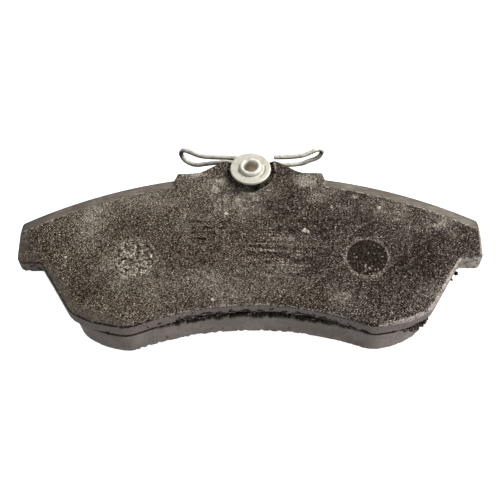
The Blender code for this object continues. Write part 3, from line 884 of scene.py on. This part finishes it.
def smooth_route(points, step):
    """Points about a step apart on the smooth curve through a route's own points."""
    route = [Vector(p) for p in points]
    route = [route[0] * 2 - route[1]] + route + [route[-1] * 2 - route[-2]]
    result = []
    for p0, p1, p2, p3 in zip(route, route[1:], route[2:], route[3:]):
        count = max(1, round((p2 - p1).length / step))
        for i in range(count):
            t = i / count
            linear = (p2 - p0) * t
            square = (p0 * 2 - p1 * 5 + p2 * 4 - p3) * t**2
            cube = (p1 * 3 - p0 - p2 * 3 + p3) * t**3
            result.append(p1 + (linear + square + cube) / 2)
    return result + [route[-2]]


def wire_mesh(route, radius, sides=20):
    """A round wire along a route, thinner at its cut ends, and how far down and back each point faces."""
    points, faces, down, back = [], [], [], []
    side = Vector((0, 0, 1))
    last = len(route) - 1
    ends = {0: 0.8, last: 0.8}
    for i, place in enumerate(route):
        ahead = (route[min(i + 1, last)] - route[max(i - 1, 0)]).normalized()
        side = (side - ahead * side.dot(ahead)).normalized()
        other = ahead.cross(side)
        size = radius * ends.get(i, 1.0)
        for k in range(sides):
            turn = 2 * math.pi * k / sides
            across = side * math.cos(turn) + other * math.sin(turn)
            points.append(place + across * size)
            down.append(-across.z)
            back.append(across.y)
    for i in range(last):
        for k in range(sides):
            a, b = i * sides + k, i * sides + (k + 1) % sides
            faces.append((a, b, b + sides, a + sides))
    faces.append(tuple(range(sides - 1, -1, -1)))
    faces.append(tuple(range(last * sides, (last + 1) * sides)))
    return np.array(points), faces, np.array(down), np.array(back)


def make_spring():
    """One wire, drawn in two lengths that meet behind the tab: the hook and left loop, and the right loop."""
    hook = []
    for turn in np.radians(np.arange(HOOK_END_ANGLE, HOOK_START_ANGLE + 1, HOOK_STEP_ANGLE)):
        hook.append((HOOK_RADIUS * math.cos(turn), RIVET_FOOT.y + HOOK_RADIUS * math.sin(turn), HOOK_Z))
    hook += [(-4.0, WIRE_Y - 0.08, HOOK_Z), (-5.2, WIRE_Y, HOOK_Z), (-6.3, WIRE_Y, (ARM_Z + HOOK_Z) / 2)]
    routes = {
        "left": hook + LEFT_LOOP + [BRIDGE_MIDDLE],
        "right": [BRIDGE_MIDDLE] + RIGHT_LOOP[::-1],
    }
    nodes = {"left": ["spring_hook", "spring_left_loop"], "right": ["spring_bridge", "spring_right_loop"]}
    material = metal_material("spring_zinc", WIRE_LOOK)
    for side, sign in (("left", -1), ("right", 1)):
        route = [place + Vector((SPRING_SHIFT, 0, 0)) for place in smooth_route(routes[side], 0.3)]
        points, faces, down, back = wire_mesh(route, WIRE_RADIUS)
        cloudy = noise_at(points, 1.1, 51, 2)
        points += 0.01 * cloudy[:, None]
        # Painted shade: darker on the wire's lower flank and on its rear flank, with a little noise
        dirt_and_shade = ease(down, -0.7, -0.2) + 0.7 * ease(back, 0.6, 0.9) + 0.15 * cloudy
        marks = {"dirt_and_shade": np.clip(dirt_and_shade, 0, 1)}
        piece = make_piece(f"spring_wire_{side}", points, faces, material, marks, 40)
        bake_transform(piece)
        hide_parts(*nodes[side])


# ---------------- materials

RIVET_LOOK = {
    "clean": (0.52, 0.50, 0.455),
    "dull": (0.32, 0.30, 0.25),
    "dirt_and_shade": (0.38, 0.33, 0.25),
    "edge": (0.3, 0.29, 0.27),
    "metal": 0.2,
    "rough": (0.42, 0.55),
}
WASHER_LOOK = {
    "clean": (0.50, 0.475, 0.41),
    "dull": (0.33, 0.305, 0.245),
    "dirt_and_shade": (0.16, 0.135, 0.10),
    "edge": (0.8, 0.78, 0.72),
    "metal": 0.45,
    "rough": (0.38, 0.55),
}
WIRE_LOOK = {
    "clean": (0.45, 0.435, 0.385),
    "dull": (0.23, 0.215, 0.175),
    # Near black: painted shade on the wire's lower and rear flanks
    "dirt_and_shade": (0.014, 0.012, 0.009),
    "edge": (0.12, 0.12, 0.10),
    "metal": 0.15,
    "rough": (0.6, 0.75),
}


def feed(node, inputs):
    """Links each input to a socket, or sets its value."""
    for key, value in inputs.items():
        if isinstance(value, bpy.types.NodeSocket):
            node.id_data.links.new(value, node.inputs[key])
        else:
            node.inputs[key].default_value = value


def add_node(tree, kind, inputs, **settings):
    node = tree.nodes.new("ShaderNode" + kind)
    for key, value in settings.items():
        setattr(node, key, value)
    feed(node, inputs)
    return node


def millimetres(tree, stretch=(1, 1, 1)):
    """The place on the object in millimetres, squeezed along each axis."""
    place = add_node(tree, "TexCoord", {}).outputs["Object"]
    scale = tuple(1000 / s for s in stretch)
    return add_node(tree, "Mapping", {"Vector": place, "Scale": scale}).outputs["Vector"]


def grit(tree, place, size, detail=3.0, roughness=0.6, distortion=0.0):
    """Noise whose lumps are about size millimetres wide."""
    inputs = {"Vector": place, "Scale": 1 / size, "Detail": detail, "Roughness": roughness}
    inputs["Distortion"] = distortion
    return add_node(tree, "TexNoise", inputs).outputs["Fac"]


def mark(tree, name):
    return add_node(tree, "Attribute", {}, attribute_name=name).outputs["Fac"]


def calc(tree, operation, a, b=0.0, c=0.0):
    return add_node(tree, "Math", {0: a, 1: b, 2: c}, operation=operation).outputs[0]


def remap(tree, value, low, high, to_low=0.0, to_high=1.0):
    """The value moved from one range to another, eased and kept inside it."""
    inputs = {"Value": value, "From Min": low, "From Max": high, "To Min": to_low, "To Max": to_high}
    node = add_node(tree, "MapRange", inputs, interpolation_type="SMOOTHSTEP")
    return node.outputs["Result"]


def ramp(tree, value, stops):
    """A colour for the value, from (position, colour) stops."""
    node = add_node(tree, "ValToRGB", {"Fac": value})
    elements = node.color_ramp.elements
    while len(elements) < len(stops):
        elements.new(0.5)
    for element, (position, colour) in zip(elements, stops):
        element.position = position
        element.color = (*colour, 1)
    return node.outputs["Color"]


def mix(tree, share, first, second, blend="MIX"):
    first, second = ((*value, 1) if isinstance(value, tuple) else value for value in (first, second))
    inputs = {0: share, 6: first, 7: second}
    return add_node(tree, "Mix", inputs, data_type="RGBA", blend_type=blend).outputs[2]


def new_material(name):
    material = bpy.data.materials.new(name)
    material.use_nodes = True
    tree = material.node_tree
    return material, tree, tree.nodes["Principled BSDF"]


def bump(tree, shader, height, strength, distance):
    """Fine relief: height from 0 to 1 stands for distance millimetres."""
    inputs = {"Height": height, "Strength": strength, "Distance": distance * MM}
    feed(shader, {"Normal": add_node(tree, "Bump", inputs).outputs["Normal"]})


def matt(shader, colour, roughness, specular):
    """A dull surface with a faint warm sheen."""
    feed(shader, {"Base Color": colour, "Roughness": roughness})
    feed(shader, {"Specular IOR Level": specular, "Specular Tint": (1.0, 0.85, 0.76, 1)})


def coating_level(tree, fine, patch, across):
    """How light the coating's grains are, with more contrast and less light towards the right."""
    contrast = remap(tree, across, -40, 40, 1.23, 1.8)
    contrast = calc(tree, "MULTIPLY", contrast, remap(tree, mark(tree, "calm"), 0, 1, 1.0, 0.45))
    level = calc(tree, "MULTIPLY_ADD", mark(tree, "grain"), 0.25, 0.575)
    level = calc(tree, "MULTIPLY_ADD", calc(tree, "SUBTRACT", fine, 0.5), contrast, level)
    level = calc(tree, "ADD", level, calc(tree, "MULTIPLY_ADD", patch, 0.14, -0.277))
    level = calc(tree, "ADD", level, remap(tree, across, -45, 35, 0.02, -0.087))
    return calc(tree, "ADD", level, mark(tree, "tone"))


def coating_colour(tree, place, fine, tiny, patch):
    """Dark gritty coating with pale specks and dust between its grains, and smooth where it is rubbed."""
    across = add_node(tree, "SeparateXYZ", {"Vector": place}).outputs["X"]
    level = coating_level(tree, fine, patch, across)
    coating = ramp(tree, level, [
        (0.30, (0.0040, 0.0025, 0.0012)),
        (0.42, (0.0136, 0.0093, 0.0054)),
        (0.52, (0.044, 0.0342, 0.0252)),
        (0.62, (0.125, 0.106, 0.087)),
        (0.78, (0.40, 0.366, 0.328)),
    ])
    warmth = ramp(tree, remap(tree, across, -60, 60), [(0.0, (1.0, 0.96, 0.90)), (1.0, (1.0, 0.94, 0.965))])
    coating = mix(tree, 1.0, coating, warmth, blend="MULTIPLY")

    cells = add_node(tree, "TexVoronoi", {"Vector": place, "Scale": 1 / 1.5}).outputs
    chance = add_node(tree, "SeparateColor", {"Color": cells["Color"]}).outputs[0]
    chosen = calc(tree, "MULTIPLY", remap(tree, chance, 0.7, 0.85), remap(tree, across, -30, 30, 0.3, 0.8))
    speck = calc(tree, "MULTIPLY", remap(tree, cells["Distance"], 0.1, 0.2, 0.85, 0.0), chosen)
    coating = mix(tree, speck, coating, (0.42, 0.385, 0.34))

    dusty = ramp(tree, tiny, [(0.35, (0.46, 0.42, 0.362)), (0.65, (0.17, 0.148, 0.121))])
    dust = calc(tree, "MULTIPLY", mark(tree, "dust"), remap(tree, level, 0.32, 0.55, 0.3, 1.0))
    colour = mix(tree, dust, coating, dusty)
    rubbed = ramp(tree, fine, [(0.35, (0.040, 0.033, 0.027)), (0.65, (0.080, 0.068, 0.056))])
    return mix(tree, calc(tree, "MULTIPLY", mark(tree, "calm"), 0.75), colour, rubbed)


def bevel_colour(tree, fine, patch):
    """Smooth bevels, faintly streaked along their length and darker at their outer edge."""
    smooth = ramp(tree, patch, [(0.35, (0.088, 0.075, 0.06)), (0.65, (0.155, 0.136, 0.116))])
    smooth = mix(tree, remap(tree, fine, 0.35, 0.7, 0.0, 0.35), smooth, (0.075, 0.062, 0.05))
    along = grit(tree, millimetres(tree, (6, 1, 1)), 0.8, 3, 0.6)
    smooth = mix(tree, remap(tree, along, 0.42, 0.62, 0.0, 0.7), smooth, (0.058, 0.048, 0.04))
    return mix(tree, mark(tree, "outer"), smooth, (0.034, 0.032, 0.027))


def plate_material():
    """The plate's coating, its bevels and walls, and the grime, wear and chips over them, with painted shade
    and painted highlights mixed in.
    """
    material, tree, shader = new_material("plate_coating")
    place = millimetres(tree)
    fine = grit(tree, millimetres(tree, (1.35, 0.9, 1)), 0.31, 1.5, 0.6, distortion=0.4)
    tiny = grit(tree, place, 0.28, 1, 0.5)
    patch = grit(tree, place, 9, 4, 0.6)
    colour = coating_colour(tree, place, fine, tiny, patch)
    colour = mix(tree, mark(tree, "band"), colour, bevel_colour(tree, fine, patch))

    streaks = grit(tree, millimetres(tree, (1, 1, 6)), 0.6, 3, 0.6)
    side = ramp(tree, streaks, [(0.3, (0.092, 0.075, 0.068)), (0.7, (0.142, 0.119, 0.110))])
    colour = mix(tree, mark(tree, "wall"), colour, side)
    # The right ear's wall: pale blotches of bare steel that also stand for painted light from the side lamp
    blotch = grit(tree, place, 2.4, 3, 0.6)
    bare_and_lit = ramp(tree, blotch, [(0.42, (0.09, 0.079, 0.063)), (0.58, (0.32, 0.295, 0.25))])
    colour = mix(tree, calc(tree, "MULTIPLY", mark(tree, "bare_and_lit"), 0.8), colour, bare_and_lit)

    # Near black along the left lobe's edge, and painted shade on the ears' lower walls and in the crumbled
    # foot
    grime_and_shade_share = remap(tree, calc(tree, "MULTIPLY_ADD", fine, 0.6, mark(tree, "grime_and_shade")), 0.6, 1.0, 0.0, 0.85)
    colour = mix(tree, grime_and_shade_share, colour, (0.004, 0.0026, 0.0018))
    # Pale steel where the edges are worn, and a painted highlight on the right-hand edges
    worn_and_lit = remap(tree, calc(tree, "MULTIPLY_ADD", fine, 0.9, mark(tree, "wear_and_highlight")), 0.75, 1.25, 0.0, 0.8)
    steel = ramp(tree, fine, [(0.35, (0.14, 0.125, 0.112)), (0.65, (0.42, 0.385, 0.35))])
    colour = mix(tree, worn_and_lit, colour, steel)
    # Pale chips and flecks, and a painted highlight along part of the seat's rim
    chips_and_highlight = ramp(tree, fine, [(0.35, (0.28, 0.245, 0.195)), (0.55, (0.52, 0.475, 0.40))])
    colour = mix(tree, mark(tree, "chips_and_highlight"), colour, chips_and_highlight)

    matt(shader, colour, remap(tree, fine, 0.3, 0.7, 0.8, 0.55), 0.06)
    height = calc(tree, "MULTIPLY_ADD", tiny, 0.4, fine)
    bump(tree, shader, mix(tree, mark(tree, "band"), height, (0.5, 0.5, 0.5)), 1.0, 0.45)
    return material


def underlayer_material():
    """Dark crumbly compound, pale where it is broken fresh, and almost black in the groove under the plate,
    which is partly painted shade.
    """
    material, tree, shader = new_material("underlayer_compound")
    fine = grit(tree, millimetres(tree), 0.42, 2, 0.65)
    dark = ramp(tree, fine, [
        (0.35, (0.003, 0.0021, 0.0014)),
        (0.55, (0.015, 0.011, 0.008)),
        (0.75, (0.075, 0.06, 0.049)),
    ])
    pale = ramp(tree, fine, [
        (0.38, (0.045, 0.036, 0.025)),
        (0.52, (0.23, 0.199, 0.155)),
        (0.66, (0.66, 0.60, 0.51)),
    ])
    colour = mix(tree, mark(tree, "pale"), dark, pale)
    # The groove's near-black colour: dark compound and painted shade under the plate's edge
    deep_and_shaded = ramp(tree, fine, [(0.45, (0.0015, 0.0009, 0.0006)), (0.8, (0.018, 0.0125, 0.009))])
    colour = mix(tree, mark(tree, "groove_dark_and_shade"), colour, deep_and_shaded)
    matt(shader, colour, remap(tree, fine, 0.3, 0.7, 0.95, 0.7), 0.03)
    bump(tree, shader, fine, 0.9, 0.2)
    return material


def lining_material():
    """Grey-brown compound: streaked wall, brass flecks in the friction face, dark pores, crumbly edge."""
    material, tree, shader = new_material("lining_compound")
    place = millimetres(tree)
    fine = grit(tree, place, 0.45, 4, 0.65)
    patch = grit(tree, place, 7, 3, 0.6)
    streaks = grit(tree, millimetres(tree, (1, 1, 9)), 0.7, 3, 0.6)
    cloudy = calc(tree, "ADD", calc(tree, "MULTIPLY", streaks, 0.35), calc(tree, "MULTIPLY", patch, 0.65))
    side = ramp(tree, cloudy, [
        (0.38, (0.11, 0.094, 0.084)),
        (0.5, (0.13, 0.112, 0.101)),
        (0.62, (0.158, 0.138, 0.125)),
    ])
    shade = ramp(tree, fine, [
        (0.35, (0.03, 0.027, 0.025)),
        (0.6, (0.11, 0.10, 0.095)),
        (0.8, (0.22, 0.20, 0.18)),
    ])
    flecks = add_node(tree, "TexVoronoi", {"Vector": place, "Scale": 1 / 0.9}).outputs
    brass = mix(tree, remap(tree, flecks["Distance"], 0.12, 0.22, 0.8, 0.0), shade, (0.42, 0.27, 0.13))
    colour = mix(tree, mark(tree, "face"), side, brass)
    colour = mix(tree, mark(tree, "pore"), colour, (0.02, 0.017, 0.015))
    crumbly = ramp(tree, fine, [
        (0.47, (0.003, 0.002, 0.0014)),
        (0.58, (0.015, 0.011, 0.008)),
        (0.66, (0.10, 0.084, 0.063)),
        (0.78, (0.42, 0.38, 0.31)),
    ])
    colour = mix(tree, mark(tree, "broken"), colour, crumbly)
    colour = mix(tree, remap(tree, fine, 0.3, 0.7, 0.25, 0.0), colour, (0.03, 0.025, 0.02))
    matt(shader, colour, remap(tree, fine, 0.3, 0.7, 0.85, 0.6), 0.08)
    bump(tree, shader, fine, 0.5, 0.1)
    return material


def metal_material(name, look):
    """Zinc plating or bare steel: clean metal, dulled in patches and grains, darker where dirt collects and,
    on the wire, with painted shade.
    """
    material, tree, shader = new_material(name)
    place = millimetres(tree)
    cloud = grit(tree, place, 1.6, 4, 0.65)
    fine = grit(tree, place, 0.35, 3, 0.6)
    colour = mix(tree, remap(tree, cloud, 0.4, 0.7), look["clean"], look["dull"])
    colour = mix(tree, remap(tree, fine, 0.55, 0.8, 0.0, 0.4), colour, look["dull"])
    # Dark and dull where this mark is strong: dirt in the rivet's bore, painted shade on the wire
    colour = mix(tree, mark(tree, "dirt_and_shade"), colour, look["dirt_and_shade"])
    metallic = remap(tree, mark(tree, "dirt_and_shade"), 0.2, 0.8, look["metal"], 0.0)
    rough = remap(tree, cloud, 0.35, 0.7, *look["rough"])
    feed(shader, {"Base Color": colour, "Metallic": metallic, "Roughness": rough})
    feed(shader, {"Specular Tint": (*look["edge"], 1)})
    bump(tree, shader, fine, 0.25, 0.04)
    return material


# ---------------- studio

AIM = Vector((0.0, -6.0, 18.0)) * MM
CAMERA_PLACE = Vector((-0.1, -146.6, 271.6)) * MM
CAMERA_LENS = 70.9
CAMERA_ROLL = math.radians(-0.36)
FLOOR_SIZE = 3.0
FLOOR_Z = -0.1 * MM


def aim_at(thing, target):
    thing.rotation_euler = (target - thing.location).to_track_quat("-Z", "Y").to_euler()


def add_lamp(name, place, size, power):
    lamp = bpy.data.lights.new(name, "AREA")
    lamp.size = size
    lamp.energy = power
    thing = new_object(name, lamp)
    thing.location = place
    aim_at(thing, AIM)


def make_camera():
    camera = new_object("camera", bpy.data.cameras.new("camera"))
    camera.data.lens = CAMERA_LENS
    camera.location = CAMERA_PLACE
    aim_at(camera, Vector((CAMERA_PLACE.x, AIM.y, AIM.z)))
    camera.rotation_euler.rotate_axis("Z", CAMERA_ROLL)
    return camera


def make_floor():
    """A sheet of white paper, lit from within, just below the pad."""
    mesh = bpy.data.meshes.new("floor")
    half = FLOOR_SIZE / 2
    corners = [(-half, -half), (half, -half), (half, half), (-half, half)]
    mesh.from_pydata([(*corner, FLOOR_Z) for corner in corners], [], [(0, 1, 2, 3)])
    material, _, shader = new_material("floor_paper")
    feed(shader, {"Base Color": (0.3, 0.3, 0.3, 1), "Roughness": 0.9})
    feed(shader, {"Emission Color": (1, 1, 1, 1), "Emission Strength": 0.92})
    mesh.materials.append(material)
    floor = new_object("floor", mesh)


def make_studio():
    """The photo's camera, a white floor and surround, and three lamps."""
    scene = bpy.context.scene
    scene.view_settings.view_transform = "Standard"
    scene.camera = make_camera()
    make_floor()
    scene.world = bpy.data.worlds.new("studio")
    scene.world.use_nodes = True
    feed(scene.world.node_tree.nodes["Background"], {"Color": (1, 1, 1, 1), "Strength": 0.3})
    add_lamp("key", Vector((0.36, 0.34, 0.40)), 0.18, 7.0)
    add_lamp("side", Vector((0.60, -0.22, 0.13)), 0.25, 4.5)
    add_lamp("top", Vector((-0.25, 0.05, 0.7)), 0.5, 2.0)


make_backing_plate()
make_underlayer()
make_lining()
make_rivet()
make_washer()
make_spring()
make_studio()
